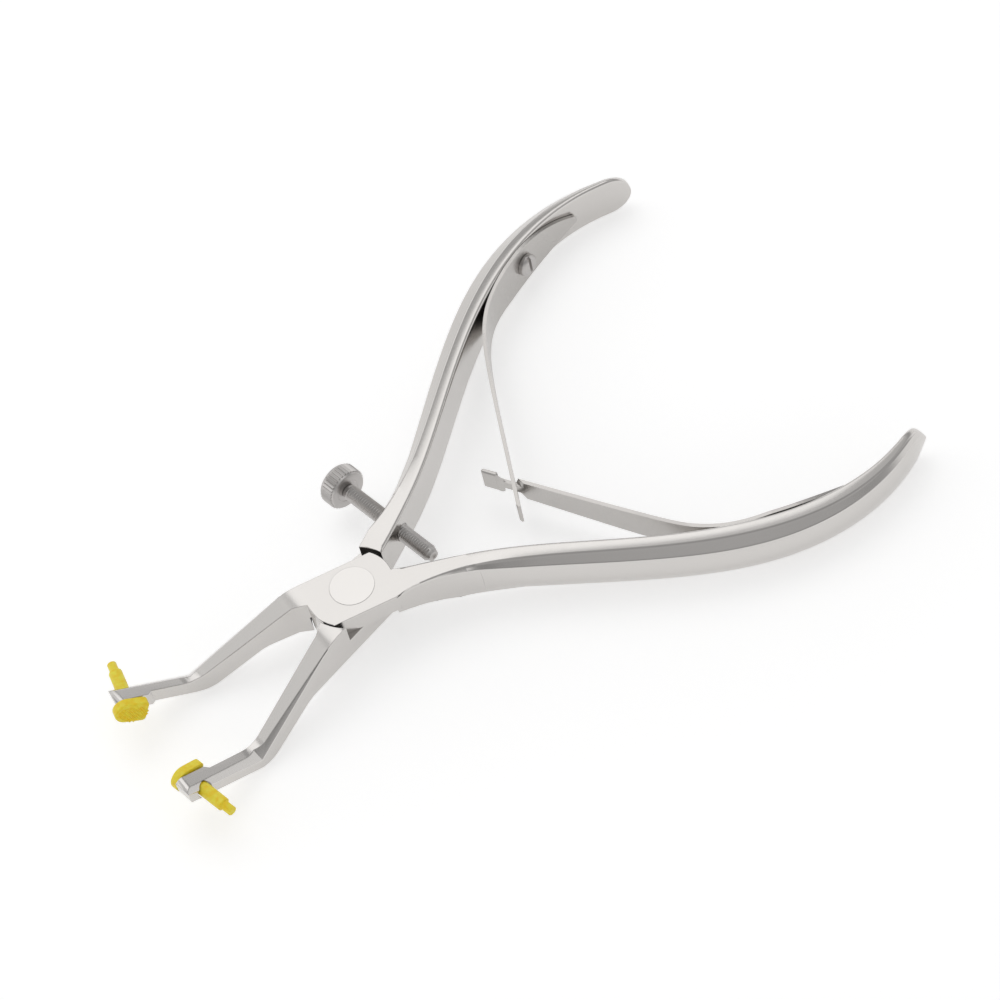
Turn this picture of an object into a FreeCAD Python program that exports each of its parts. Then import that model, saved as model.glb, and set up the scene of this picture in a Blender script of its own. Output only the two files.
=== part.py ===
import FreeCAD, Part
import math
import os

# Crown remover pliers, sizes in mm. The origin is on the pivot axis at the joint's underside.
# +X runs towards the handles, +Y towards the handle that carries the stop screw, +Z is up.
# The levers are modelled at rest, held open by the two leaf springs.

os.makedirs("parts", exist_ok=True)
Vector = FreeCAD.Vector
UP = Vector(0, 0, 1)

# Lap joint
joint_thickness = 9.0
lap_height = joint_thickness / 2
lap_gap = 0.04
plate_angle = 12.5
jaw_edge_offset = 5.7
handle_edge_offset = 6.95
handle_side_radius = 8.4
jaw_side_radius = 9.6
handle_side_step_gap = 0.9
jaw_side_step_gap = 0.25
crotch_angle = 194.5
step_relief = [(6.2, 6.6), (12.3, 9.85)]

# Pivot rivet, countersunk and flush in both cheeks
pivot_head_diameter = 9.0
pivot_shank_diameter = 6.0
pivot_gap = 0.04

# Jaw seen from above: places of the inner face and of the outer face
jaw_inner_root = (-12.0, -4.2)
jaw_inner_elbow = (-34.0, -10.0)
tip_angle = 8.0
tip_thickness = 3.2
tip_boss = 0.8
tip_boss_length = 6.6
top_nose_x = -49.4
bottom_nose_x = -50.4
nose_round = 1.55

# Jaw seen from the side: it dips under the teeth and rises to the tip
dip_start_x = -10.6
dip_angle = 24.0
jaw_depth = 4.8
elbow_x = -33.9
rise_angle = 27.0
tip_depth = 3.3
elbow_bend = 6.0
dip_bend = 12.0
dip_bend_below = 8.0
nose_top_round = 1.55

# The jaw's upper outer edge is ground to a slope that widens from the joint to the elbow
jaw_slope_at_joint = 0.1
jaw_slope_at_elbow = 1.3
jaw_slope_at_nose = 0.9

# Handle: inner face point, thickness, width of the flat band, half height, and the place of the
# ridge between the shoulder and the rounded back, as shares of thickness and half height
handle_stations = [
    (8.6, 2.3, 6.85, 6.3, 4.5, 0.99, 0.92),
    (15.5, 6.1, 4.56, 4.1, 4.6, 0.97, 0.90),
    (26.0, 12.45, 4.8, 2.9, 4.9, 0.87, 0.76),
    (37.0, 20.7, 5.4, 2.7, 5.0, 0.87, 0.76),
    (54.0, 33.9, 5.8, 2.6, 5.0, 0.87, 0.76),
    (70.0, 43.3, 6.0, 3.0, 5.0, 0.87, 0.76),
    (84.0, 47.7, 5.0, 2.7, 5.0, 0.87, 0.76),
    (96.0, 48.0, 3.6, 1.8, 5.0, 0.87, 0.76),
    (107.4, 45.2, 2.2, 1.1, 5.0, 0.87, 0.76),
]
handle_mid_height = joint_thickness / 2
handle_edge_break = 0.4
handle_end_x = 107.2
handle_end_radius = 5.0

# Stop screw, M3.5 x 0.6
screw_diameter = 3.5
screw_gap = 0.05
screw_point = (15.95, 8.9)
screw_angle = 7.5
screw_above_handle = 13.9
screw_below_handle = 11.5
screw_tip_chamfer = 0.6
screw_dimple_diameter = 1.4
screw_dimple_depth = 0.5
knob_diameter = 9.2
knob_thickness = 3.9
knob_edge_break = 0.5

# Leaf springs
spring_thickness = 0.8
spring_seat_gap = 0.08
spring_tail_x = 93.0
spring_seat_end_x = 69.0
spring_free_points = [(62.0, 38.0), (56.0, 30.6), (49.2, 18.4)]
spring_cross_x = 39.7
spring_end_past_cross = 7.9
spring_half_width = 3.4
spring_end_half_width = 2.6
spring_root_half_width = 4.9
spring_widest_x = 76.0
spring_straight_start_x = 58.0
spring_straight_end_x = 52.0
spring_shoulder = (85.0, 3.6)
spring_tail_start = (91.9, 1.2)
slot_half_width = 1.6
slot_clear_before = 2.1
slot_clear_after = 2.9
head_half_width = 2.6
head_length = 4.0
neck_half_width = 1.0
neck_length = 4.0
neck_before_cross = 1.2
spring_corner = 0.7
spring_bend_steps = 11

# Spring screws
spring_screw_x = 76.8
spring_screw_diameter = 2.6
spring_screw_depth = 3.2
spring_screw_head_diameter = 5.0
spring_screw_head_height = 1.5
spring_screw_head_chamfer = 0.6
spring_screw_slot_width = 0.8
spring_screw_slot_depth = 0.7
spring_screw_hole_gap = 0.2
spring_screw_bore_end_gap = 0.4
thread_gap = 0.03

# Pads, push-fitted in the jaw tips
top_pad_from_nose = 2.4
bottom_pad_from_nose = 3.4
pad_hole_height = 3.4
pad_hole_diameter = 3.3
pad_stem_diameter = 2.75
pad_peg_diameter = 1.9
pad_stem_out = 5.2
pad_peg_out = 2.4
pad_thickness = 1.9
pad_seat_gap = 0.05
pad_nose_length = 3.6
pad_heel_length = 3.2
pad_half_height = 2.5
pad_heel_round = 0.9
pad_edge_break = 0.25
top_pad_lean = -6.0
bottom_pad_lean = -3.0


def save(shape, node):
    shape.exportStep("parts/" + node + ".step")


def face_of(edges):
    return Part.Face(Part.Wire(edges))


def line(a, b):
    return Part.LineSegment(a, b).toShape()


def arc(a, b, c):
    return Part.Arc(a, b, c).toShape()


def cylinder(diameter, length, start, direction):
    return Part.makeCylinder(diameter / 2, length, start, direction)


def smooth_curve(points):
    curve = Part.BSplineCurve()
    curve.interpolate(points)
    return curve


def to_other_lever(shape):
    """the same shape on the lever that is this one's mirror image"""
    return shape.mirror(Vector(0, 0, 0), Vector(0, 1, 0))


def along(angle):
    """unit vector in the ground plane, at an angle from +X"""
    return Vector(math.cos(math.radians(angle)), math.sin(math.radians(angle)), 0)


def polar(radius, angle):
    return along(angle) * radius


def angle_of(point):
    return math.degrees(math.atan2(point.y, point.x))


def rounded_loop(corners, radii):
    """flat face whose outline has its corners rounded by arcs"""
    edges = []
    ends = []
    count = len(corners)
    for index in range(count):
        here = corners[index]
        back = (corners[index - 1] - here).normalize()
        ahead = (corners[(index + 1) % count] - here).normalize()
        radius = radii[index]
        half = back.getAngle(ahead) / 2
        reach = radius / math.tan(half)
        start = here + back * reach
        end = here + ahead * reach
        if ends:
            edges.append(line(ends[-1], start))
        ends += [start, end]
        if radius:
            middle = here + (back + ahead).normalize() * (radius / math.sin(half) - radius)
            edges.append(arc(start, middle, end))
    edges.append(line(ends[-1], ends[0]))
    return face_of(edges)


# Handle: a bar with a flat inner face and a rounded back, lofted along its bow.
# The lever that is drawn has its jaw at -Y and its handle at +Y.

handle_curve = smooth_curve([Vector(station[0], station[1], 0) for station in handle_stations])


def handle_parameter(x):
    """place on the inner face's curve with this x"""
    low = handle_curve.FirstParameter
    high = handle_curve.LastParameter
    for _ in range(40):
        middle = (low + high) / 2
        if handle_curve.value(middle).x < x:
            low = middle
        else:
            high = middle
    return low


def outward(curve, parameter):
    tangent = curve.tangent(parameter)[0]
    return Vector(-tangent.y, tangent.x, 0)


def handle_frame(x):
    """point of the inner face at mid height, and the direction out through the handle"""
    parameter = handle_parameter(x)
    return handle_curve.value(parameter) + UP * handle_mid_height, outward(handle_curve, parameter)


def handle_section(station):
    x, y, thickness, band, half_height, ridge_depth_share, ridge_height_share = station
    place, out = handle_frame(x)
    edge = handle_edge_break
    ridge = thickness * ridge_depth_share
    ridge_z = half_height * ridge_height_share

    def at(depth, z):
        return place + out * depth + UP * z

    return Part.Wire([
        line(at(0, edge - half_height), at(0, half_height - edge)),
        line(at(0, half_height - edge), at(edge, half_height)),
        line(at(edge, half_height), at(band, half_height)),
        line(at(band, half_height), at(ridge, ridge_z)),
        arc(at(ridge, ridge_z), at(thickness, 0), at(ridge, -ridge_z)),
        line(at(ridge, -ridge_z), at(band, -half_height)),
        line(at(band, -half_height), at(edge, -half_height)),
        line(at(edge, -half_height), at(0, edge - half_height)),
    ])


def handle():
    bar = Part.makeLoft([handle_section(station) for station in handle_stations], True, False)
    # Seen from the side the end is a half circle
    centre = Vector(handle_end_x - handle_end_radius, 0, handle_mid_height)
    up = UP * handle_end_radius
    end = centre + Vector(handle_end_radius, 0, 0)
    back = Vector(-handle_end_x, 0, 0)
    side = face_of([
        line(centre - up + back, centre - up),
        arc(centre - up, end, centre + up),
        line(centre + up, centre + up + back),
        line(centre + up + back, centre - up + back),
    ])
    return bar.common(side.extrude(Vector(0, handle_end_x, 0)))


# Joint plate and jaw


def plate_edge(offset, side, forward):
    """point of a plate edge, by its distance along the edge from the foot nearest the pivot"""
    return polar(offset, plate_angle + side * 90) + along(plate_angle) * forward


def plate_edge_at_radius(offset, side, radius, way):
    return plate_edge(offset, side, way * math.sqrt(radius**2 - offset**2))


def plate_edge_at_x(offset, side, x):
    foot = plate_edge(offset, side, 0)
    return plate_edge(offset, side, (x - foot.x) / along(plate_angle).x)


tip_direction = along(180 + tip_angle)
tip_inward = along(90 + tip_angle)
jaw_outer_elbow = plate_edge_at_x(jaw_edge_offset, -1, elbow_x)
dip = math.tan(math.radians(dip_angle))
rise = math.tan(math.radians(rise_angle))
elbow_top_z = joint_thickness - dip * (dip_start_x - elbow_x)


def tip_outer(x):
    """point of the jaw tip's outer face"""
    return jaw_outer_elbow + tip_direction * ((x - elbow_x) / tip_direction.x)


def lever_plan(nose_x):
    """plan of jaw and joint plate, with a tongue that runs on inside the handle's root"""
    root_inner, root_out = handle_frame(handle_stations[0][0])
    root_outer = root_inner + root_out * handle_stations[0][2]
    tongue, tongue_out = handle_frame(handle_stations[1][0])
    tongue += tongue_out * (handle_stations[1][2] / 2)
    root_inner, root_outer, tongue = [
        Vector(point.x, point.y, 0) for point in (root_inner, root_outer, tongue)]
    plate_tip = plate_edge_at_radius(jaw_edge_offset, -1, handle_side_radius, 1)
    root = polar(handle_side_radius, angle_of(root_inner))
    plate_corner = plate_edge_at_radius(handle_edge_offset, 1, jaw_side_radius, -1)
    crotch = polar(jaw_side_radius, crotch_angle)
    nose_outer = tip_outer(nose_x)
    boss_nose = nose_outer + tip_inward * (tip_thickness + tip_boss)
    boss_heel = boss_nose - tip_direction * tip_boss_length
    boss_foot = boss_heel - tip_direction * tip_boss - tip_inward * tip_boss
    inner_root = Vector(jaw_inner_root[0], jaw_inner_root[1], 0)
    inner_elbow = Vector(jaw_inner_elbow[0], jaw_inner_elbow[1], 0)
    nose_side_mid = polar(handle_side_radius, (angle_of(plate_tip) + angle_of(root)) / 2)
    jaw_side_mid = polar(jaw_side_radius, (angle_of(plate_corner) + crotch_angle) / 2)
    return face_of([
        line(jaw_outer_elbow, plate_tip),
        arc(plate_tip, nose_side_mid, root),
        line(root, root_inner),
        line(root_inner, tongue),
        line(tongue, root_outer),
        line(root_outer, plate_corner),
        arc(plate_corner, jaw_side_mid, crotch),
        line(crotch, inner_root),
        line(inner_root, inner_elbow),
        line(inner_elbow, boss_foot),
        line(boss_foot, boss_heel),
        line(boss_heel, boss_nose),
        line(boss_nose, nose_outer),
        line(nose_outer, jaw_outer_elbow),
    ])


def side_view(nose_x):
    """side view of jaw and joint plate: level at the joint, dipping jaw, rising tip"""
    dip_depth = jaw_depth / math.cos(math.radians(dip_angle))
    rise_depth = tip_depth / math.cos(math.radians(rise_angle))
    elbow_top = Vector(elbow_x, 0, elbow_top_z)
    nose_top = elbow_top + Vector(nose_x - elbow_x, 0, rise * (elbow_x - nose_x))
    across_tip = Vector(-math.sin(math.radians(rise_angle)), 0, -math.cos(math.radians(rise_angle)))
    low_x = elbow_x + (dip_depth - rise_depth) / (dip + rise)
    low_z = elbow_top_z - dip_depth + dip * (low_x - elbow_x)
    level_x = low_x - low_z / dip
    end_x = handle_stations[1][0]
    corners = [
        Vector(end_x, 0, joint_thickness),
        Vector(dip_start_x, 0, joint_thickness),
        elbow_top,
        nose_top,
        nose_top + across_tip * tip_depth,
        Vector(low_x, 0, low_z),
        Vector(level_x, 0, 0),
        Vector(end_x, 0, 0),
    ]
    radii = [0, dip_bend, elbow_bend, nose_top_round, nose_round, elbow_bend, dip_bend_below, 0]
    return rounded_loop(corners, radii)


def jaw_slope(nose_x):
    """what is ground off the jaw's upper outer edge"""
    joint_end = plate_edge_at_x(jaw_edge_offset, -1, dip_start_x) + UP * joint_thickness
    elbow = jaw_outer_elbow + UP * elbow_top_z
    nose = tip_outer(nose_x) + UP * (elbow_top_z + rise * (elbow_x - nose_x))
    past_nose = nose + (nose - elbow) * 0.2
    triangles = []
    for place, width in (
            (joint_end, jaw_slope_at_joint), (elbow, jaw_slope_at_elbow),
            (past_nose, jaw_slope_at_nose)):
        beyond = jaw_depth
        above = place + tip_inward * (width + beyond) + UP * beyond
        below = place - tip_inward * beyond - UP * (width + beyond)
        outside = place - tip_inward * beyond + UP * beyond
        triangles.append(Part.makePolygon([above, below, outside, above]))
    return Part.makeLoft(triangles, True, True)


def jaw_and_plate(nose_x):
    reach = 30
    plan = lever_plan(nose_x)
    plan.translate(UP * -reach)
    side = side_view(nose_x)
    side.translate(Vector(0, -reach, 0))
    block = plan.extrude(UP * 2 * reach).common(side.extrude(Vector(0, 2 * reach, 0)))
    return block.cut(jaw_slope(nose_x))


# Lap: at each lever's own level a plate stays, at the other level a round step makes room


def lap_room(low, high):
    """space of the other lever's plate, with room to turn"""
    height = high - low
    start = UP * low
    hinge_side = Part.makeCylinder(
        handle_side_radius + handle_side_step_gap, height, start, UP, 180)
    jaw_side = Part.makeCylinder(jaw_side_radius + jaw_side_step_gap, height, start, UP, 180)
    hinge_side.rotate(start, UP, -90)
    jaw_side.rotate(start, UP, 90)
    return hinge_side.fuse(jaw_side)


def relief_room(low, height):
    """what is ground off the handle's outer corner beside the step"""
    corner, waist = [Vector(x, y, low) for x, y in step_relief]
    run = corner - waist
    away = UP.cross(waist - corner).normalize() * handle_edge_offset
    relief = Part.makePolygon([waist, waist + run * 2, waist + run * 2 + away, waist + away, waist])
    return Part.Face(relief).extrude(UP * height)


def pivot(gap):
    """two countersunk heads on one shank; the gap is the running clearance in the hole"""
    shank = cylinder(pivot_shank_diameter + 2 * gap, joint_thickness, Vector(0, 0, 0), UP)
    sink = (pivot_head_diameter - pivot_shank_diameter) / 2
    top = Part.makeCone(
        pivot_shank_diameter / 2 + gap, pivot_head_diameter / 2 + gap, sink,
        UP * (joint_thickness - sink), UP)
    bottom = Part.makeCone(
        pivot_head_diameter / 2 + gap, pivot_shank_diameter / 2 + gap, sink, Vector(0, 0, 0), UP)
    return shank.fuse([top, bottom]).removeSplitter()


# Stop screw: its axis crosses the handle near the root

screw_axis = along(screw_angle - 90)
screw_middle = Vector(screw_point[0], screw_point[1], handle_mid_height)
screw_outer_end = screw_middle - screw_axis * screw_above_handle
screw_length = screw_above_handle + screw_below_handle


def stop_screw_hole():
    return cylinder(screw_diameter + 2 * screw_gap, screw_length, screw_outer_end, screw_axis)


def stop_screw_stud():
    straight = screw_length - screw_tip_chamfer
    tip_start = screw_outer_end + screw_axis * straight
    shank = cylinder(screw_diameter, straight, screw_outer_end, screw_axis)
    tip = Part.makeCone(
        screw_diameter / 2, screw_diameter / 2 - screw_tip_chamfer, screw_tip_chamfer,
        tip_start, screw_axis)
    dimple = Part.makeCone(
        screw_dimple_diameter / 2, 0, screw_dimple_depth,
        tip_start + screw_axis * screw_tip_chamfer, screw_axis * -1)
    return shank.fuse(tip).cut(dimple)


def stop_screw_knob():
    disc = cylinder(knob_diameter, knob_thickness, screw_outer_end, screw_axis * -1)
    rims = [edge for edge in disc.Edges if edge.Curve.TypeId == "Part::GeomCircle"]
    return disc.makeChamfer(knob_edge_break, rims)


# Leaf springs. Each follows its handle's inner face and then crosses to the other spring.

leaf_cross = Vector(spring_cross_x, 0, 0)
leaf_last_free = Vector(spring_free_points[-1][0], spring_free_points[-1][1], 0)
leaf_free_direction = (leaf_cross - leaf_last_free).normalize()


def on_handle_face(x, inset):
    place, out = handle_frame(x)
    return place - out * inset - UP * handle_mid_height


def leaf_strip(end_past_cross):
    """upright strip along the leaf's bend, later cut to the leaf's outline"""
    inset = spring_seat_gap + spring_thickness / 2
    seat_length = spring_tail_x - spring_seat_end_x
    points = [leaf_cross + leaf_free_direction * end_past_cross, leaf_cross]
    points += [Vector(x, y, 0) for x, y in reversed(spring_free_points)]
    points += [
        on_handle_face(spring_seat_end_x + seat_length * share, inset)
        for share in (0, 0.3, 0.62, 1)]
    centre = smooth_curve(points)
    faces = []
    for side in (-0.5, 0.5):
        shifted = []
        for step in range(spring_bend_steps + 1):
            parameter = centre.FirstParameter + step / spring_bend_steps * (
                centre.LastParameter - centre.FirstParameter)
            offset = outward(centre, parameter) * (side * spring_thickness)
            shifted.append(centre.value(parameter) + offset)
        faces.append(smooth_curve(shifted))
    inner, outer = faces
    strip = face_of([
        inner.toShape(),
        line(inner.EndPoint, outer.EndPoint),
        outer.toShape(),
        line(outer.StartPoint, inner.StartPoint),
    ])
    strip.translate(UP * (handle_mid_height - spring_root_half_width))
    return strip.extrude(UP * 2 * spring_root_half_width)


def leaf_x(past_cross):
    return spring_cross_x + leaf_free_direction.x * past_cross


def leaf_outline(free_end):
    """side view of a leaf, from the shape of its free end to the rounded tail"""
    upper = free_end + [
        (spring_straight_end_x, spring_half_width),
        (spring_straight_start_x, spring_half_width),
        (spring_widest_x - spring_root_half_width, spring_root_half_width),
        (spring_widest_x, spring_root_half_width),
    ]

    def at(point, side=1):
        return Vector(point[0], -handle_end_x, handle_mid_height + side * point[1])

    edges = []
    for side in (1, -1):
        for a, b in zip(upper, upper[1:]):
            edges.append(line(at(a, side), at(b, side)))
        edges.append(arc(at(upper[-1], side), at(spring_shoulder, side), at(spring_tail_start, side)))
    edges.append(arc(at(spring_tail_start), at((spring_tail_x, 0)), at(spring_tail_start, -1)))
    edges.append(line(at(upper[0]), at(upper[0], -1)))
    outline = Part.Face(Part.Wire(Part.__sortEdges__(edges)))
    return outline.extrude(Vector(0, 2 * handle_end_x, 0))


def at_spring_screw(diameter, inward, into_handle):
    """cylinder on the spring screw's axis"""
    place, out = handle_frame(spring_screw_x)
    return cylinder(diameter, inward + into_handle, place - out * inward, out)


def spring_hole():
    through = spring_screw_head_height + spring_thickness
    return at_spring_screw(spring_screw_diameter + 2 * spring_screw_hole_gap, through, through)


def slotted_spring():
    end = spring_end_past_cross
    outline = leaf_outline([
        (leaf_x(end), spring_end_half_width - spring_corner),
        (leaf_x(end - spring_corner), spring_end_half_width),
    ])
    slot_end = leaf_x(slot_clear_after)
    reach = spring_free_points[-1][1]
    slot = Part.makeBox(
        leaf_x(-slot_clear_before) - slot_end, 2 * reach, 2 * slot_half_width,
        Vector(slot_end, -reach, handle_mid_height - slot_half_width))
    return leaf_strip(end).common(outline).cut([slot, spring_hole()])


def t_head_spring():
    shoulder = -neck_before_cross
    head_start = shoulder + neck_length
    end = head_start + head_length
    outline = leaf_outline([
        (leaf_x(end), head_half_width - spring_corner),
        (leaf_x(end - spring_corner), head_half_width),
        (leaf_x(head_start + spring_corner), head_half_width),
        (leaf_x(head_start), head_half_width - spring_corner),
        (leaf_x(head_start), neck_half_width),
        (leaf_x(shoulder), neck_half_width),
        (leaf_x(shoulder - spring_corner), spring_end_half_width),
    ])
    return to_other_lever(leaf_strip(end).common(outline).cut(spring_hole()))


def spring_screw():
    seat_height = 2 * spring_seat_gap + spring_thickness
    shank = at_spring_screw(spring_screw_diameter, seat_height, spring_screw_depth)
    place, out = handle_frame(spring_screw_x)
    seat = place - out * seat_height
    radius = spring_screw_head_diameter / 2
    rim_height = spring_screw_head_height - spring_screw_head_chamfer
    head = cylinder(spring_screw_head_diameter, rim_height, seat, out * -1)
    crown = Part.makeCone(
        radius, radius - spring_screw_head_chamfer, spring_screw_head_chamfer,
        seat - out * rim_height, out * -1)
    slot = Part.makeBox(
        spring_screw_slot_depth, spring_screw_slot_width, 2 * spring_screw_head_diameter,
        Vector(0, -spring_screw_slot_width / 2, -spring_screw_head_diameter))
    slot.rotate(Vector(0, 0, 0), UP, angle_of(out * -1))
    slot.translate(seat - out * (spring_screw_head_height - spring_screw_slot_depth))
    return shank.fuse([head, crown]).removeSplitter().cut(slot)


def spring_screw_bore():
    depth = spring_screw_depth + spring_screw_bore_end_gap
    return at_spring_screw(spring_screw_diameter + 2 * thread_gap, spring_thickness, depth)


# Pads and their holes in the jaw tips

tip_slope = (tip_direction * math.cos(math.radians(rise_angle))
             + UP * math.sin(math.radians(rise_angle)))
tip_wall = tip_thickness + tip_boss


def pad_hole_outer(from_nose, nose_x):
    """where the pad hole's axis meets the tip's outer face"""
    return tip_outer(nose_x + from_nose) + UP * pad_hole_height


def pad_hole(from_nose, nose_x):
    through = 3 * tip_wall
    start = pad_hole_outer(from_nose, nose_x) - tip_inward * tip_wall
    return cylinder(pad_hole_diameter, through, start, tip_inward)


def pad(from_nose, nose_x, lean):
    """drawn with its back on the XY plane, nose towards +X, stem down; then put in place"""
    nose_centre = pad_nose_length - pad_half_height
    heel_straight = pad_heel_round - pad_heel_length
    heel_side = pad_half_height - pad_heel_round
    round_mid = pad_heel_round * math.sqrt(0.5)
    plan = face_of([
        line(Vector(nose_centre, pad_half_height, 0), Vector(heel_straight, pad_half_height, 0)),
        arc(Vector(heel_straight, pad_half_height, 0),
            Vector(heel_straight - round_mid, heel_side + round_mid, 0),
            Vector(-pad_heel_length, heel_side, 0)),
        line(Vector(-pad_heel_length, heel_side, 0), Vector(-pad_heel_length, -heel_side, 0)),
        arc(Vector(-pad_heel_length, -heel_side, 0),
            Vector(heel_straight - round_mid, -heel_side - round_mid, 0),
            Vector(heel_straight, -pad_half_height, 0)),
        line(Vector(heel_straight, -pad_half_height, 0), Vector(nose_centre, -pad_half_height, 0)),
        arc(Vector(nose_centre, -pad_half_height, 0), Vector(pad_nose_length, 0, 0),
            Vector(nose_centre, pad_half_height, 0)),
    ])
    head = plan.extrude(UP * pad_thickness)
    rims = [edge for edge in head.Edges if edge.BoundBox.ZMin > pad_thickness / 2]
    head = head.makeChamfer(pad_edge_break, rims)
    wall = tip_wall + pad_seat_gap
    stem = cylinder(pad_stem_diameter, wall + pad_stem_out, Vector(0, 0, 0), UP * -1)
    peg = cylinder(
        pad_peg_diameter, pad_peg_out, UP * -(wall + pad_stem_out), UP * -1)
    whole = head.fuse([stem, peg]).removeSplitter()
    whole.rotate(Vector(pad_nose_length, 0, 0), Vector(0, 1, 0), -lean)
    whole.translate(Vector(-wall / 2 * math.tan(math.radians(lean)), 0, 0))
    seat = pad_hole_outer(from_nose, nose_x) + tip_inward * wall
    across = tip_inward.cross(tip_slope)
    place = FreeCAD.Matrix(
        tip_slope.x, across.x, tip_inward.x, seat.x,
        tip_slope.y, across.y, tip_inward.y, seat.y,
        tip_slope.z, across.z, tip_inward.z, seat.z,
        0, 0, 0, 1)
    whole.Placement = FreeCAD.Placement(place) * whole.Placement
    return whole


def lever(nose_x, pad_from_nose, room_low, room_high, pivot_room):
    body = jaw_and_plate(nose_x).fuse(handle()).removeSplitter()
    return body.cut([
        lap_room(room_low, room_high), pivot_room,
        pad_hole(pad_from_nose, nose_x), spring_screw_bore()])


lap_top = lap_height + lap_gap / 2
lap_bottom = lap_height - lap_gap / 2
top_lever = to_other_lever(
    lever(top_nose_x, top_pad_from_nose, -1, lap_top, pivot(0)))
bottom_lever = lever(
    bottom_nose_x, bottom_pad_from_nose, lap_bottom, joint_thickness + 1,
    pivot(pivot_gap)).cut([stop_screw_hole(), relief_room(lap_bottom, joint_thickness)])

shapes = {
    "top_lap_lever": top_lever,
    "bottom_lap_lever": bottom_lever,
    "pivot_pin": pivot(0),
    "t_head_spring": t_head_spring(),
    "slotted_spring": slotted_spring(),
    "t_head_spring_screw": to_other_lever(spring_screw()),
    "slotted_spring_screw": spring_screw(),
    "stop_screw_stud": stop_screw_stud(),
    "stop_screw_knob": stop_screw_knob(),
    "top_lever_pad": to_other_lever(pad(top_pad_from_nose, top_nose_x, top_pad_lean)),
    "bottom_lever_pad": pad(bottom_pad_from_nose, bottom_nose_x, bottom_pad_lean),
}
for node, shape in shapes.items():
    save(shape, node)
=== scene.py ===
import math

import bmesh
import bpy
import numpy as np
from mathutils import Matrix, Vector


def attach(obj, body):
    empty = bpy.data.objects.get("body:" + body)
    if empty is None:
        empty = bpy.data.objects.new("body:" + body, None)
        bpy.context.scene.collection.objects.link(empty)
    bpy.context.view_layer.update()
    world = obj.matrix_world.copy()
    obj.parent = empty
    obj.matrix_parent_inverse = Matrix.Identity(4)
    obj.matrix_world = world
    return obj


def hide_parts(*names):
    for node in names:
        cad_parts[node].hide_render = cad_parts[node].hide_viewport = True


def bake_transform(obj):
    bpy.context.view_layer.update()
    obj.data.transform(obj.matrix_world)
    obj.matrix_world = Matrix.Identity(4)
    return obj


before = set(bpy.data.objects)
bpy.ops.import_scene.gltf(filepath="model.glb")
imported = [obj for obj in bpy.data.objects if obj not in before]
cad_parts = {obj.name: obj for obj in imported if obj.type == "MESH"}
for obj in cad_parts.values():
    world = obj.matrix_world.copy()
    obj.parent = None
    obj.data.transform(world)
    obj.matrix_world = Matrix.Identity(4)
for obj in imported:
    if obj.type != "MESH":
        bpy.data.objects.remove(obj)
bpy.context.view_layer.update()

# Levers: two forgings of stainless steel that cross in a lap joint. Their flats are ground,
# their bows are belt polished to a satin, and every sharp edge is broken with a soft wheel.


def hex_to_linear(code):
    """sRGB hex colour as the linear RGBA that the shader takes"""
    channels = [int(code[i:i + 2], 16) / 255 for i in (1, 3, 5)]
    return [c / 12.92 if c <= 0.04045 else ((c + 0.055) / 1.055) ** 2.4 for c in channels] + [1]


def add_node(tree, kind, inputs=None, **settings):
    """a node with its settings, each input being a value or another node's socket"""
    made = tree.nodes.new(kind)
    for name, value in settings.items():
        setattr(made, name, value)
    for key, value in (inputs or {}).items():
        if isinstance(value, bpy.types.NodeSocket):
            tree.links.new(value, made.inputs[key])
        else:
            made.inputs[key].default_value = value
    return made


def new_material(name):
    """an empty surface material and its node tree"""
    material = bpy.data.materials.new(name)
    material.use_nodes = True
    material.node_tree.nodes.clear()
    return material, material.node_tree


def steel(name, colour, roughness, grain_mm, grain_depth_mm):
    """metal with fine polishing lines along the piece, which streak its gloss"""
    line_length_mm = grain_mm * 25
    streaks, clouds = 0.10, 0.06
    material, tree = new_material(name)
    place = add_node(tree, "ShaderNodeTexCoord").outputs["Object"]
    lines = add_node(tree, "ShaderNodeMapping", {
        "Vector": place, "Scale": (1000 / line_length_mm, 1000 / grain_mm, 1000 / grain_mm)})
    grain = add_node(tree, "ShaderNodeTexNoise", {
        "Vector": lines.outputs[0], "Scale": 1.0, "Detail": 3.0, "Roughness": 0.6})
    cloud = add_node(tree, "ShaderNodeTexNoise", {
        "Vector": place, "Scale": 90.0, "Detail": 2.0})
    gloss = add_node(tree, "ShaderNodeMath", {
        0: grain.outputs[0], 1: streaks, 2: roughness - (streaks + clouds) / 2},
        operation="MULTIPLY_ADD")
    gloss = add_node(tree, "ShaderNodeMath", {
        0: cloud.outputs[0], 1: clouds, 2: gloss.outputs[0]}, operation="MULTIPLY_ADD")
    bump = add_node(tree, "ShaderNodeBump", {
        "Height": grain.outputs[0], "Distance": grain_depth_mm / 1000, "Strength": 0.4})
    shader = add_node(tree, "ShaderNodeBsdfPrincipled", {
        "Base Color": hex_to_linear(colour), "Metallic": 1.0,
        "Roughness": gloss.outputs[0], "Normal": bump.outputs[0]})
    add_node(tree, "ShaderNodeOutputMaterial", {"Surface": shader.outputs[0]})
    return material


def new_object(name, mesh, material):
    """an object at the origin with its mesh and its one material"""
    mesh.materials.clear()
    mesh.materials.append(material)
    made = bpy.data.objects.new(name, mesh)
    bpy.context.scene.collection.objects.link(made)
    return made


def object_from(shell, name, material):
    """a finished bmesh as an object"""
    mesh = bpy.data.meshes.new(name)
    shell.to_mesh(mesh)
    shell.free()
    return new_object(name, mesh, material)


def apply_modifiers(piece):
    """the piece's modifiers become plain mesh"""
    bpy.context.view_layer.update()
    result = bpy.data.meshes.new_from_object(
        piece.evaluated_get(bpy.context.evaluated_depsgraph_get()))
    piece.modifiers.clear()
    piece.data = result


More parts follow.
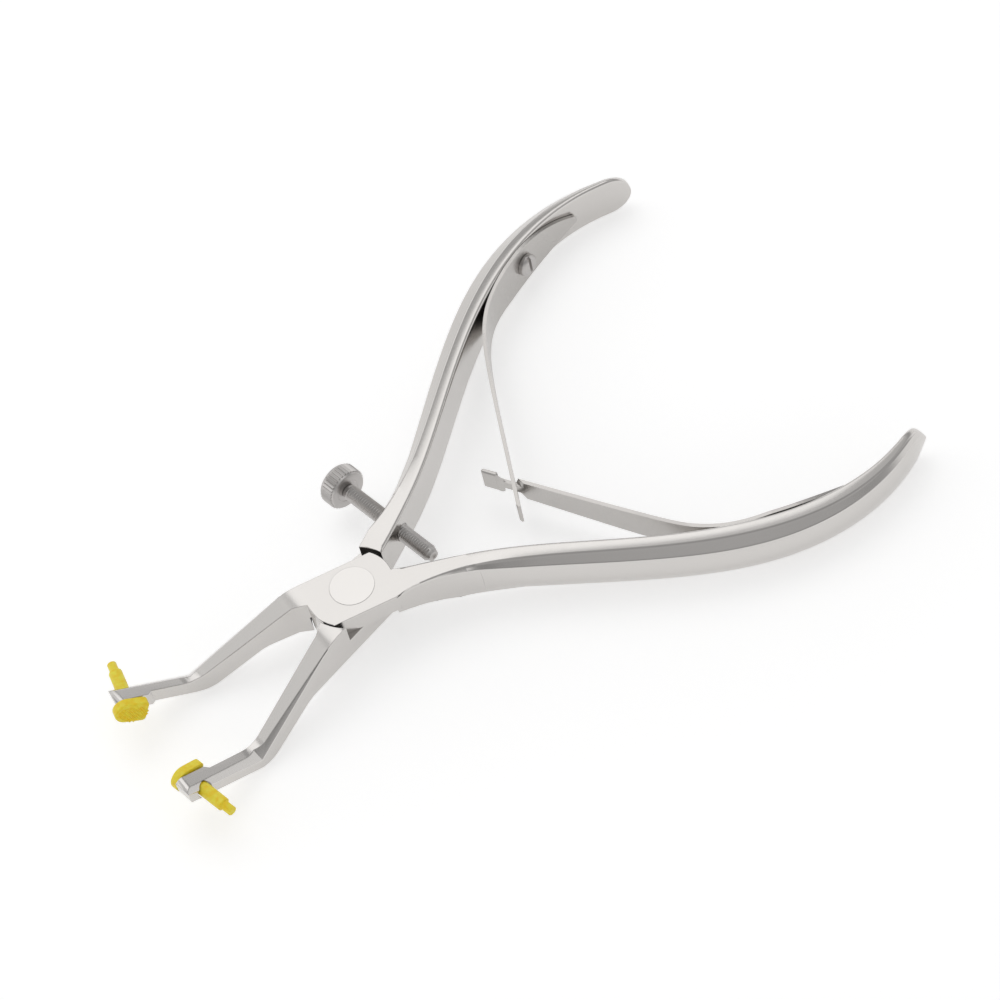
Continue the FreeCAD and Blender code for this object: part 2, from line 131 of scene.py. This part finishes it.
def merged_shell(node_name, distance_mm):
    """a CAD node's surface as one closed bmesh, without edges shorter than the distance"""
    shell = bmesh.new()
    shell.from_mesh(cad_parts[node_name].data)
    bmesh.ops.remove_doubles(shell, verts=shell.verts, dist=distance_mm / 1000)
    return shell


def flat_faced_shell(node_name, distance_mm):
    """the same, with each flat face as one face instead of the CAD mesh's triangles"""
    shell = merged_shell(node_name, distance_mm)
    bmesh.ops.dissolve_limit(
        shell, angle_limit=math.radians(0.6), verts=shell.verts, edges=shell.edges)
    return shell


def smooth_by_angle(piece, degrees):
    """curved faces look round and large flat faces stay flat"""
    piece.data.shade_smooth()
    piece.data.set_sharp_from_angle(angle=math.radians(degrees))
    weighted = piece.modifiers.new("flat_faces_first", "WEIGHTED_NORMAL")
    weighted.keep_sharp = True
    weighted.weight = 100
    apply_modifiers(piece)


SHARP_EDGE = math.radians(32)
SHORTEST_EDGE_MM = 0.03


def edge_broken(piece, edge_break_mm, kept_sharp_x=None):
    """takes the sharp edges off a piece, but not those at one x, and smooths what is round"""
    shell = bmesh.new()
    shell.from_mesh(piece.data)
    weight = shell.edges.layers.float.new("bevel_weight_edge")
    for edge in shell.edges:
        kept = kept_sharp_x is not None and all(
            abs(corner.co.x - kept_sharp_x / 1000) < 1e-5 for corner in edge.verts)
        edge[weight] = 0.0 if kept or edge.calc_face_angle(0) < SHARP_EDGE else 1.0
    shell.to_mesh(piece.data)
    shell.free()
    bevel = piece.modifiers.new("edge_break", "BEVEL")
    bevel.width = edge_break_mm / 1000
    bevel.segments = 2
    bevel.limit_method = "WEIGHT"
    bevel.use_clamp_overlap = False
    apply_modifiers(piece)
    smooth_by_angle(piece, 20)


def with_broken_edges(node_name, material, edge_break_mm):
    """the CAD node's form with its sharp edges taken off"""
    shell = flat_faced_shell(node_name, SHORTEST_EDGE_MM)
    piece = object_from(shell, node_name + "_finished", material)
    edge_broken(piece, edge_break_mm)
    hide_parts(node_name)
    return piece


# Inner face point, thickness and width of the bright band, in mm, from the root to the end
HANDLE_STATIONS = [
    (8.6, 2.3, 6.85, 6.3), (15.5, 6.1, 4.56, 4.1), (26.0, 12.45, 4.8, 2.9),
    (37.0, 20.7, 5.4, 2.6), (54.0, 33.9, 5.8, 2.5), (70.0, 43.3, 6.0, 2.6),
    (84.0, 47.7, 4.97, 2.4), (96.0, 48.0, 3.57, 1.7), (107.4, 45.2, 2.2, 1.1)]
# In mm: where the drawn handle starts and ends, its height, and how it thins towards its root
HANDLE_START = 21.0
HANDLE_END = 106.5
RING_STEP = 0.5
HANDLE_MIDDLE = 4.5
HANDLE_HALF_HEIGHT = 5.0
FULL_HEIGHT_X, ROOT_X, ROOT_THINNING = 37.0, 15.5, 0.4

# In mm: the inner corner's radius, the band's crown, the groove beside the band, and the
# length over which crown and groove grow from nothing
INNER_RADIUS = 0.55
CROWN = 0.32
GROOVE, GROOVE_MIDDLE, GROOVE_WIDTH = 0.14, 0.12, 0.30
BELT_RUN_IN = 9.0

# Outlines in mm, seen from the side, of what is ground off under the upper lever's root and
# of the part of the CAD lever that the drawn handle replaces
ROOT_WEDGE = [(3.0, -1.0), (18.6, -1.0), (18.6, 0.0), (8.0, 2.5), (3.0, 4.4)]
CAD_HANDLE = [(HANDLE_START, -2.0), (120.0, -2.0), (120.0, 12.0), (HANDLE_START, 12.0)]

# In metres: the level at which the levers slide on each other, and the ring that its rooms fill,
# where the lap's faces get painted shade
LAP_LEVEL = 0.0045
LAP_INNER, LAP_OUTER = 0.003, 0.0108


def smooth_rows(rows, count):
    """rows at even steps on the cubic spline through the given ones"""
    rows = np.array(rows)
    steps = np.linalg.norm(np.diff(rows[:, :2], axis=0), axis=1)
    reached = np.concatenate([[0], np.cumsum(steps)])
    size = len(rows)
    matrix = np.eye(size)
    right = np.zeros_like(rows)
    for i in range(1, size - 1):
        matrix[i, i - 1:i + 2] = steps[i - 1], 2 * (steps[i - 1] + steps[i]), steps[i]
        right[i] = 6 * ((rows[i + 1] - rows[i]) / steps[i] - (rows[i] - rows[i - 1]) / steps[i - 1])
    bend = np.linalg.solve(matrix, right)
    result = []
    for place in np.linspace(0, reached[-1], count):
        i = min(np.searchsorted(reached, place, side="right") - 1, size - 2)
        before, after, step = place - reached[i], reached[i + 1] - place, steps[i]
        result.append((bend[i] * after ** 3 + bend[i + 1] * before ** 3) / (6 * step)
                      + (rows[i] / step - bend[i] * step / 6) * after
                      + (rows[i + 1] / step - bend[i + 1] * step / 6) * before)
    return np.array(result)


def handle_half_section(thickness, band, half_height, belted):
    """(depth, height) points from the inner face's middle over the top to the back's middle"""
    crown = CROWN * belted
    groove = GROOVE * belted
    ridge = Vector((thickness * (0.92 - 0.08 * belted), half_height * (0.83 - 0.14 * belted)))
    points = [(0, 0), (0, half_height * 0.5), (0, half_height - 1.2), (0, half_height - 0.75)]
    for turn in (22.5, 45, 67.5, 90):
        angle = math.radians(turn)
        points.append((INNER_RADIUS - INNER_RADIUS * math.cos(angle),
                       half_height - INNER_RADIUS + INNER_RADIUS * math.sin(angle)))
    for share in (0.25, 0.5, 0.75, 0.93, 1.0):
        points.append((INNER_RADIUS + (band - INNER_RADIUS) * share,
                       half_height - crown * share ** 1.6))
    points.append((band + GROOVE_MIDDLE, half_height - crown - 0.05 - groove))
    step = Vector((band + GROOVE_WIDTH, half_height - crown - 0.12 - groove))
    for share in (0, 0.15, 0.4, 0.65, 0.85, 1.0):
        place = step.lerp(ridge, share)
        points.append((place.x, place.y))
    bulge = thickness - ridge.x
    for turn in (0.12, 0.25, 0.4, 0.55, 0.7, 0.85, 1.0):
        height = ridge.y * math.cos(turn * math.pi / 2)
        points.append((ridge.x + bulge * (1 - (height / ridge.y) ** 2), height))
    return points


def cut_away(piece, side_outline_mm):
    """takes a block off the piece, drawn by its outline seen from the side"""
    block = bmesh.new()
    near, far = ([block.verts.new((x / 1000, y, z / 1000)) for x, z in side_outline_mm]
                 for y in (-0.06, 0.06))
    block.faces.new(near)
    block.faces.new(far)
    for i in range(len(near)):
        j = (i + 1) % len(near)
        block.faces.new((near[i], near[j], far[j], far[i]))
    bmesh.ops.recalc_face_normals(block, faces=block.faces)
    cutter = object_from(block, "cutter", piece.data.materials[0])
    cut = piece.modifiers.new("cut", "BOOLEAN")
    cut.operation = "DIFFERENCE"
    cut.solver = "EXACT"
    cut.object = cutter
    apply_modifiers(piece)
    bpy.data.objects.remove(cutter)


def lever(node_name, side, material, lap_shade_material):
    """the CAD lever, with its handle drawn smooth from near the root to the rounded end"""
    shell = flat_faced_shell(node_name, SHORTEST_EDGE_MM)
    mesh = bpy.data.meshes.new(node_name + "_front")
    shell.to_mesh(mesh)
    shell.free()
    piece = new_object(node_name + "_finished", mesh, material)
    if side < 0:
        cut_away(piece, ROOT_WEDGE)
    cut_away(piece, CAD_HANDLE)
    edge_broken(piece, 0.15, HANDLE_START)

    # Where the levers slide on each other, the lap's floor and walls get painted shade, a dark dull
    # steel, so that the gaps look deep
    piece.data.materials.append(lap_shade_material)
    for face in piece.data.polygons:
        away = Vector((face.center.x, face.center.y, 0))
        if LAP_INNER < away.length < LAP_OUTER:
            floor_of_lap = abs(face.normal.z) > 0.95 and abs(face.center.z - LAP_LEVEL) < 1e-4
            wall_of_lap = abs(face.normal.z) < 0.3 and face.normal.dot(away.normalized()) < -0.8
            if floor_of_lap or wall_of_lap:
                face.material_index = 1

    path = smooth_rows(HANDLE_STATIONS, 2000)
    round_end_x = HANDLE_END - HANDLE_HALF_HEIGHT
    round_end = HANDLE_HALF_HEIGHT * (1 - np.sin(np.radians(np.arange(0, 89, 7))))
    places = np.concatenate([
        np.arange(HANDLE_START, round_end_x, RING_STEP), HANDLE_END - round_end])
    rows = np.array([np.interp(places, path[:, 0], column) for column in path.T]).T
    along = np.gradient(rows[:, :2], places, axis=0)
    along /= np.linalg.norm(along, axis=1)[:, None]
    front = bmesh.new()
    front.from_mesh(piece.data)
    rings = []
    for (x, y, thickness, band), tangent in zip(rows, along):
        rootward = max(0, (FULL_HEIGHT_X - x) / (FULL_HEIGHT_X - ROOT_X))
        half_height = HANDLE_HALF_HEIGHT - ROOT_THINNING * rootward ** 1.4
        end = max(0, x - round_end_x)
        lower = math.sqrt(1 - (end / HANDLE_HALF_HEIGHT) ** 2)
        upper = handle_half_section(
            thickness, band, half_height, min(1, (x - HANDLE_START) / BELT_RUN_IN))
        loop = upper + [(depth, -height) for depth, height in reversed(upper[1:-1])]
        rings.append([
            front.verts.new((
                (x - tangent[1] * depth) / 1000, side * (y + tangent[0] * depth) / 1000,
                (HANDLE_MIDDLE + height * lower) / 1000))
            for depth, height in loop])
    skin = [front.faces.new(rings[0]), front.faces.new(rings[-1])]
    for first, second in zip(rings, rings[1:]):
        for i in range(len(first)):
            j = (i + 1) % len(first)
            skin.append(front.faces.new((first[i], first[j], second[j], second[i])))
    bmesh.ops.recalc_face_normals(front, faces=skin)
    for face in skin:
        face.smooth = True
        for edge in face.edges:
            edge.smooth = edge.calc_face_angle(0) < math.radians(50)
    mesh = bpy.data.meshes.new(node_name + "_finished")
    front.to_mesh(mesh)
    front.free()
    for slot in (material, lap_shade_material):
        mesh.materials.append(slot)
    piece.data = mesh
    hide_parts(node_name)
    return piece


# A soft mirror with fine lines, so it shows broad grey and white reflections and no sparkle
lever_steel = steel("satin_polished_stainless_steel", "#CFCCC9", 0.22, 0.14, 0.003)
# Painted shade: dark and dull steel on the lap's faces, so that the gaps at the joint look deep
lap_painted_shade_steel = steel("lap_gap_painted_shade", "#2E2B29", 0.50, 0.20, 0.003)
top_lever = lever("top_lap_lever", -1, lever_steel, lap_painted_shade_steel)
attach(top_lever, "top_lever")
bottom_lever = lever("bottom_lap_lever", 1, lever_steel, lap_painted_shade_steel)
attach(bottom_lever, "bottom_lever")

# Pivot rivet: a stainless pin, headed over into countersinks and ground flush with the joint,
# so that only a fine circle shows where its head ends.


def dress(node_name, material):
    """gives a CAD node its finish"""
    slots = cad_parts[node_name].data.materials
    slots.clear()
    slots.append(material)


# A shade brighter than the levers, so that the rivet's head just shows as a disc
pin_steel = steel("flush_ground_rivet_steel", "#D6D3D0", 0.23, 0.10, 0.002)
dress("pivot_pin", pin_steel)

# Stop screw: an M3.5 x 0.6 stud turned from stainless bar, with a rolled thread, a chamfered
# end with a centre dimple, and a straight-knurled knob pressed on its outer end.

SCREW_OUTER_END = Vector((0.014136, 0.022681, 0.0045))
SCREW_AXIS = Vector((0.130526, -0.991445, 0.0))


def lathe(name, profile_mm, steps):
    """closed mesh turned about Z from (radius, height) points, both ends on the axis"""
    turned = bmesh.new()
    rings = []
    for radius, height in profile_mm:
        count = 1 if radius == 0 else steps
        rings.append([
            turned.verts.new((
                radius / 1000 * math.cos(2 * math.pi * i / steps),
                radius / 1000 * math.sin(2 * math.pi * i / steps), height / 1000))
            for i in range(count)])
    for lower, upper in zip(rings, rings[1:]):
        for i in range(steps):
            corners = [lower[i % len(lower)], lower[(i + 1) % steps % len(lower)],
                       upper[(i + 1) % steps % len(upper)], upper[i % len(upper)]]
            turned.faces.new(list(dict.fromkeys(corners)))
    bmesh.ops.recalc_face_normals(turned, faces=turned.faces)
    mesh = bpy.data.meshes.new(name)
    turned.to_mesh(mesh)
    turned.free()
    return mesh


def geometry_tree(name, inputs):
    """an empty geometry tree with named inputs, its input node and the inputs' identifiers"""
    tree = bpy.data.node_groups.new(name, "GeometryNodeTree")
    tree.interface.new_socket("Geometry", in_out="INPUT", socket_type="NodeSocketGeometry")
    tree.interface.new_socket("Geometry", in_out="OUTPUT", socket_type="NodeSocketGeometry")
    identifiers = {}
    for label, kind in inputs.items():
        socket = tree.interface.new_socket(label, in_out="INPUT", socket_type=kind)
        identifiers[label] = socket.identifier
    return tree, add_node(tree, "NodeGroupInput").outputs, identifiers


def end_tree(tree, body, repeated, material):
    """joins what repeats to the body, makes it real and gives it its material"""
    joined = add_node(tree, "GeometryNodeJoinGeometry")
    tree.links.new(repeated, joined.inputs[0])
    tree.links.new(body, joined.inputs[0])
    real = add_node(tree, "GeometryNodeRealizeInstances", {"Geometry": joined.outputs[0]})
    dressed = add_node(tree, "GeometryNodeSetMaterial", {
        "Geometry": real.outputs[0], "Material": material})
    add_node(tree, "NodeGroupOutput", {"Geometry": dressed.outputs[0]})


def add_geometry(piece, tree, identifiers, values):
    """runs the tree on the piece and keeps the result as plain mesh"""
    modifier = piece.modifiers.new(tree.name, "NODES")
    modifier.node_group = tree
    for label, value in values.items():
        modifier[identifiers[label]] = value
    apply_modifiers(piece)


def place_on_screw(piece):
    """turns the piece's own Z to the screw's axis and puts its foot at the screw's outer end"""
    turn = SCREW_AXIS.to_track_quat("Z", "X").to_matrix().to_4x4()
    piece.data.transform(Matrix.Translation(SCREW_OUTER_END) @ turn)


# Greyer and duller than the levers, so that thread, knurl and slot stay crisp
screw_steel = steel("turned_stainless_steel", "#BFBCBA", 0.34, 0.10, 0.002)

thread, thread_in, thread_ids = geometry_tree("rolled_thread", {
    "Root Radius": "NodeSocketFloat", "Ridge": "NodeSocketFloat", "Length": "NodeSocketFloat",
    "Turns": "NodeSocketFloat", "Start": "NodeSocketVector", "Material": "NodeSocketMaterial"})
helix = add_node(thread, "GeometryNodeCurveSpiral", {
    "Resolution": 24, "Rotations": thread_in["Turns"], "Start Radius": thread_in["Root Radius"],
    "End Radius": thread_in["Root Radius"], "Height": thread_in["Length"]})
helix = add_node(thread, "GeometryNodeSetCurveNormal", {"Curve": helix.outputs[0]})
helix.mode = "Z_UP"
section = add_node(thread, "GeometryNodeCurvePrimitiveCircle", {
    "Resolution": 4, "Radius": thread_in["Ridge"]})
ridge = add_node(thread, "GeometryNodeCurveToMesh", {
    "Curve": helix.outputs[0], "Profile Curve": section.outputs[0], "Fill Caps": True})
ridge = add_node(thread, "GeometryNodeTransform", {
    "Geometry": ridge.outputs[0], "Translation": thread_in["Start"]})
end_tree(thread, thread_in["Geometry"], ridge.outputs[0], thread_in["Material"])

stud = new_object("threaded_stud", lathe("threaded_stud", [
    (0, 0), (1.48, 0), (1.48, 24.6), (1.3, 24.95), (1.15, 25.4), (0.7, 25.4), (0, 24.9)], 32),
    screw_steel)
add_geometry(stud, thread, thread_ids, {
    "Root Radius": 0.00145, "Ridge": 0.00029, "Length": 0.0240, "Turns": 40.0,
    "Start": (0, 0, 0.0004), "Material": screw_steel})
place_on_screw(stud)
smooth_by_angle(stud, 35)
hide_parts("stop_screw_stud")
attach(stud, "stop_screw")

knurl, knurl_in, knurl_ids = geometry_tree("straight_knurl", {
    "Ribs": "NodeSocketInt", "Ring Radius": "NodeSocketFloat", "Rib Radius": "NodeSocketFloat",
    "Rib Length": "NodeSocketFloat", "Middle": "NodeSocketVector",
    "Material": "NodeSocketMaterial"})
ring = add_node(knurl, "GeometryNodeMeshCircle", {
    "Vertices": knurl_in["Ribs"], "Radius": knurl_in["Ring Radius"]})
rib = add_node(knurl, "GeometryNodeMeshCylinder", {
    "Vertices": 4, "Radius": knurl_in["Rib Radius"], "Depth": knurl_in["Rib Length"]})
outwards = add_node(knurl, "FunctionNodeAlignRotationToVector", {
    "Vector": add_node(knurl, "GeometryNodeInputPosition").outputs[0]}, axis="X")
ribs = add_node(knurl, "GeometryNodeInstanceOnPoints", {
    "Points": ring.outputs[0], "Instance": rib.outputs[0], "Rotation": outwards.outputs[0]})
ribs = add_node(knurl, "GeometryNodeTransform", {
    "Geometry": ribs.outputs[0], "Translation": knurl_in["Middle"]})
end_tree(knurl, knurl_in["Geometry"], ribs.outputs[0], knurl_in["Material"])

knob = new_object("knurled_knob", lathe("knurled_knob", [
    (0, -3.55), (1.1, -3.75), (3.5, -3.75), (3.75, -3.9), (4.1, -3.85), (4.3, -3.4),
    (4.3, -0.5), (4.1, -0.05), (3.9, 0), (2.6, 0), (2.45, -0.12), (0, -0.12)], 72), screw_steel)
add_geometry(knob, knurl, knurl_ids, {
    "Ribs": 36, "Ring Radius": 0.00422, "Rib Radius": 0.00037, "Rib Length": 0.0029,
    "Middle": (0, 0, -0.00195), "Material": screw_steel})
place_on_screw(knob)
smooth_by_angle(knob, 30)
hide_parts("stop_screw_knob")
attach(knob, "stop_knob")

# Leaf springs: strips of hard-rolled stainless steel 0.8 mm thick, blanked to their outline,
# bent, and hooked into each other where they cross. They flex between screw and crossing.

# Even grey with a little less polish than the levers, so that the strips look thin and hard
spring_steel = steel("rolled_spring_strip_steel", "#BFBCB9", 0.28, 0.10, 0.002)

CROSSING_X = 0.0397
LEAF_ANGLE = math.radians(62.7)
BEND_CUTS, BEND_CUT_STEP, FIRST_BEND_CUT_X = 30, 0.0015, 0.036
HEAD_CHAMFER = 0.00025


def leaf(node_name, side, cut_past_crossing_mm, neck_mm, head_mm):
    """the CAD leaf with its end cut square, and a head on it where it has one"""
    shell = merged_shell(node_name, 0.001)
    ahead = Vector((-math.cos(LEAF_ANGLE), -side * math.sin(LEAF_ANGLE), 0))
    crossing = Vector((CROSSING_X, 0, HANDLE_MIDDLE / 1000))
    end = crossing + ahead * cut_past_crossing_mm / 1000
    cut = bmesh.ops.bisect_plane(
        shell, geom=shell.verts[:] + shell.edges[:] + shell.faces[:], dist=1e-7,
        plane_co=end, plane_no=ahead, clear_outer=True)
    bmesh.ops.holes_fill(
        shell, edges=[part for part in cut["geom_cut"] if isinstance(part, bmesh.types.BMEdge)])
    for part in cut["geom_cut"]:
        if isinstance(part, bmesh.types.BMVert):
            part.co += ahead * neck_mm / 1000
    end += ahead * neck_mm / 1000
    if head_mm:
        length, thickness, height = (size / 1000 for size in head_mm)
        head = bmesh.ops.create_cube(shell, size=1.0, matrix=(
            Matrix.Translation(end + ahead * length * 0.45)
            @ Matrix.Rotation(math.atan2(ahead.y, ahead.x), 4, "Z")
            @ Matrix.Diagonal((length, thickness, height, 1))))
        bmesh.ops.bevel(
            shell, geom=list({edge for corner in head["verts"] for edge in corner.link_edges}),
            offset=HEAD_CHAMFER, segments=1, affect="EDGES")
    # Cuts across the strip let it bend smoothly
    for step in range(BEND_CUTS):
        bmesh.ops.bisect_plane(
            shell, geom=shell.verts[:] + shell.edges[:] + shell.faces[:], dist=1e-7,
            plane_co=(FIRST_BEND_CUT_X + step * BEND_CUT_STEP, 0, 0), plane_no=(1, 0, 0))
    piece = object_from(shell, node_name + "_finished", spring_steel)
    smooth_by_angle(piece, 25)
    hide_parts(node_name)
    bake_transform(piece)


leaf("slotted_spring", 1, 7.2, 0, None)
leaf("t_head_spring", -1, 2.85, 0.85, (3.5, 1.0, 5.2))

# Spring screws: small round-head screws with a sawn slot, turned from stainless bar, each
# holding a leaf's tail on its handle.

for node_name, body in (("slotted_spring_screw", "bottom_lever"),
                        ("t_head_spring_screw", "top_lever")):
    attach(with_broken_edges(node_name, screw_steel, 0.08), body)

# Pads: moulded yellow nylon with a stem through the jaw's tip. Their gripping face
# has rows of small pyramids, 0.8 mm from corner to corner, so that the crown doesn't slip.

PYRAMID_WIDTH = 0.0008
PYRAMID_HEIGHT = 0.0003
PYRAMID_ROWS = 11
GRIP_OVAL = (0.0030, 0.0021, 1.0)
JAW_RISE = Vector((-0.8824, 0.0, 0.4540))

# Bright opaque yellow with a faint mottle, and a grain that keeps it from looking glossy
pad_plastic, tree = new_material("moulded_yellow_nylon")
place = add_node(tree, "ShaderNodeTexCoord").outputs["Object"]
mottle = add_node(tree, "ShaderNodeTexNoise", {"Vector": place, "Scale": 900.0, "Detail": 3.0})
shade = add_node(tree, "ShaderNodeValToRGB", {0: mottle.outputs[0]})
shade.color_ramp.elements[0].position = 0.35
shade.color_ramp.elements[0].color = hex_to_linear("#FFDC1E")
shade.color_ramp.elements[1].position = 0.65
shade.color_ramp.elements[1].color = hex_to_linear("#FFEE46")
mould_grain = add_node(tree, "ShaderNodeTexNoise", {"Vector": place, "Scale": 7000.0})
rough = add_node(tree, "ShaderNodeBump", {
    "Height": mould_grain.outputs[0], "Distance": 0.00003, "Strength": 0.5})
shader = add_node(tree, "ShaderNodeBsdfPrincipled", {
    "Base Color": shade.outputs[0], "Roughness": 0.42, "Normal": rough.outputs[0],
    "Subsurface Weight": 0.15, "Subsurface Radius": (0.001, 0.0008, 0.0002)})
add_node(tree, "ShaderNodeOutputMaterial", {"Surface": shader.outputs[0]})

grip, grip_in, grip_ids = geometry_tree("grip_pyramids", {
    "Face Size": "NodeSocketVector", "Pyramid Radius": "NodeSocketFloat",
    "Pyramid Height": "NodeSocketFloat", "Rows": "NodeSocketInt", "Row Length": "NodeSocketFloat",
    "Place": "NodeSocketVector", "Turn": "NodeSocketVector", "Material": "NodeSocketMaterial"})
centres = add_node(grip, "GeometryNodeMeshGrid", {
    "Size X": grip_in["Row Length"], "Size Y": grip_in["Row Length"],
    "Vertices X": grip_in["Rows"], "Vertices Y": grip_in["Rows"]})
centres = add_node(grip, "GeometryNodeTransform", {
    "Geometry": centres.outputs[0], "Rotation": (0, 0, math.pi / 4)})
in_face = add_node(grip, "ShaderNodeVectorMath", {
    0: add_node(grip, "GeometryNodeInputPosition").outputs[0], 1: grip_in["Face Size"]},
    operation="DIVIDE")
in_face = add_node(grip, "ShaderNodeVectorMath", {0: in_face.outputs[0]}, operation="LENGTH")
outside = add_node(grip, "ShaderNodeMath", {
    0: in_face.outputs["Value"], 1: 1.0}, operation="GREATER_THAN")
centres = add_node(grip, "GeometryNodeDeleteGeometry", {
    "Geometry": centres.outputs[0], "Selection": outside.outputs[0]})
pyramid = add_node(grip, "GeometryNodeMeshCone", {
    "Vertices": 4, "Radius Bottom": grip_in["Pyramid Radius"], "Depth": grip_in["Pyramid Height"]})
rows = add_node(grip, "GeometryNodeInstanceOnPoints", {
    "Points": centres.outputs[0], "Instance": pyramid.outputs[0]})
rows = add_node(grip, "GeometryNodeTransform", {
    "Geometry": rows.outputs[0], "Translation": grip_in["Place"], "Rotation": grip_in["Turn"]})
end_tree(grip, grip_in["Geometry"], rows.outputs[0], grip_in["Material"])

for node_name, body in (("top_lever_pad", "top_lever"), ("bottom_lever_pad", "bottom_lever")):
    shell = flat_faced_shell(node_name, 0.01)
    face = max((face for face in shell.faces if face.normal.y * face.calc_center_median().y < 0),
               key=lambda face: face.calc_area())
    normal = face.normal.copy()
    middle_of_face = face.calc_center_bounds()
    shell.free()
    rising = (JAW_RISE - normal * JAW_RISE.dot(normal)).normalized()
    turn = Matrix((rising, normal.cross(rising), normal)).transposed().to_euler()
    pad = with_broken_edges(node_name, pad_plastic, 0.12)
    add_geometry(pad, grip, grip_ids, {
        "Face Size": GRIP_OVAL,
        "Pyramid Radius": PYRAMID_WIDTH / 2, "Pyramid Height": PYRAMID_HEIGHT,
        "Rows": PYRAMID_ROWS, "Row Length": (PYRAMID_ROWS - 1) * PYRAMID_WIDTH / math.sqrt(2),
        "Place": middle_of_face, "Turn": turn, "Material": pad_plastic})
    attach(pad, body)

# Floor: plain pale paper under the pliers, which lie on their jaws' elbows and handle ends, so
# it slopes a little. The camera and the metal see it lighter, as a backdrop cut out to white.

elbow_z, elbow_x = min((corner.co.z, corner.co.x) for corner in bottom_lever.data.vertices)
handle_foot_x = (HANDLE_END - HANDLE_HALF_HEIGHT) / 1000
handle_foot_z = (HANDLE_MIDDLE - HANDLE_HALF_HEIGHT) / 1000
floor_slope = (handle_foot_z - elbow_z) / (handle_foot_x - elbow_x)
floor_clearance = 0.0001
floor_half = 5.0
corners = [(-floor_half, -floor_half), (floor_half, -floor_half),
           (floor_half, floor_half), (-floor_half, floor_half)]
floor_mesh = bpy.data.meshes.new("floor")
floor_mesh.from_pydata(
    [(x, y, elbow_z + (x - elbow_x) * floor_slope - floor_clearance) for x, y in corners],
    [], [(0, 1, 2, 3)])

# Nearly white and matt, so that only the soft shadow shows on it
backdrop_glow = 0.46
paper, tree = new_material("pale_paper")
shader = add_node(tree, "ShaderNodeBsdfPrincipled", {
    "Base Color": hex_to_linear("#EAEAEA"), "Roughness": 0.9, "Specular IOR Level": 0.1})
paths = add_node(tree, "ShaderNodeLightPath").outputs
seen = add_node(tree, "ShaderNodeMath", {
    0: paths["Is Camera Ray"], 1: paths["Is Glossy Ray"]}, operation="MAXIMUM")
seen = add_node(tree, "ShaderNodeMath", {0: seen.outputs[0], 1: backdrop_glow}, operation="MULTIPLY")
glow = add_node(tree, "ShaderNodeEmission", {
    "Color": (1, 1, 1, 1), "Strength": seen.outputs[0]})
both = add_node(tree, "ShaderNodeAddShader", {0: shader.outputs[0], 1: glow.outputs[0]})
add_node(tree, "ShaderNodeOutputMaterial", {"Surface": both.outputs[0]})
floor = new_object("floor", floor_mesh, paper)

# Studio light: bright walls, a darker gap above them and a paler ceiling, which the steel
# mirrors, and two square lamps that cast the soft shadow.

world = bpy.data.worlds.new("studio")
bpy.context.scene.world = world
world.use_nodes = True
tree = world.node_tree
look = add_node(tree, "ShaderNodeTexCoord").outputs["Generated"]
height = add_node(tree, "ShaderNodeValToRGB", {
    0: add_node(tree, "ShaderNodeSeparateXYZ", {0: look}).outputs[2]})
walls = height.color_ramp.elements
walls[0].position, walls[1].position = 0.28, 0.82
for gap_edge in (0.46, 0.66):
    walls.new(gap_edge)
for stop, value in zip(walls, (1.0, 0.42, 0.42, 0.64)):
    stop.color = (value, value, value, 1)
# Behind the camera the room is darker, so that faces turned to it don't wash out
toward_camera = add_node(tree, "ShaderNodeVectorMath", {
    0: look, 1: (-0.238, -0.545, 0.804)}, operation="DOT_PRODUCT")
shade = add_node(tree, "ShaderNodeMapRange", {
    "Value": toward_camera.outputs["Value"], "From Min": 0.75, "From Max": 0.97,
    "To Min": 1.0, "To Max": 0.75}, interpolation_type="SMOOTHSTEP")
strength = add_node(tree, "ShaderNodeMath", {
    0: height.outputs[0], 1: shade.outputs[0]}, operation="MULTIPLY")
tree.links.new(strength.outputs[0], tree.nodes["Background"].inputs["Strength"])
tree.nodes["Background"].inputs["Color"].default_value = (1, 1, 1, 1)


def softbox(name, place, target, size, power):
    """a square area lamp that faces a point"""
    lamp = bpy.data.lights.new(name, "AREA")
    lamp.shape = "SQUARE"
    lamp.size = size
    lamp.energy = power
    lamp_object = bpy.data.objects.new(name, lamp)
    bpy.context.scene.collection.objects.link(lamp_object)
    lamp_object.location = place
    aim = Vector(target) - Vector(place)
    lamp_object.rotation_euler = aim.to_track_quat("-Z", "Y").to_euler()


middle = (0.03, 0.0, 0.0)
softbox("back_softbox", (0.16, 0.50, 0.85), middle, 0.70, 1.15)
softbox("left_softbox", (-0.47, 0.65, 0.53), middle, 0.60, 0.5)

# Camera: above the jaws' side, looking down across the pliers with a long lens, as the
# photograph was taken.

camera_data = bpy.data.cameras.new("camera")
camera_data.sensor_width = 36.0
camera_data.lens = 101.18
camera_data.clip_start = 0.01
camera = bpy.data.objects.new("camera", camera_data)
bpy.context.scene.collection.objects.link(camera)
camera.location = (-0.10980, -0.30680, 0.45509)
camera.rotation_euler = [math.radians(angle) for angle in (36.036, 8.736, -37.187)]
bpy.context.scene.camera = camera
bpy.context.scene.view_settings.view_transform = "Standard"
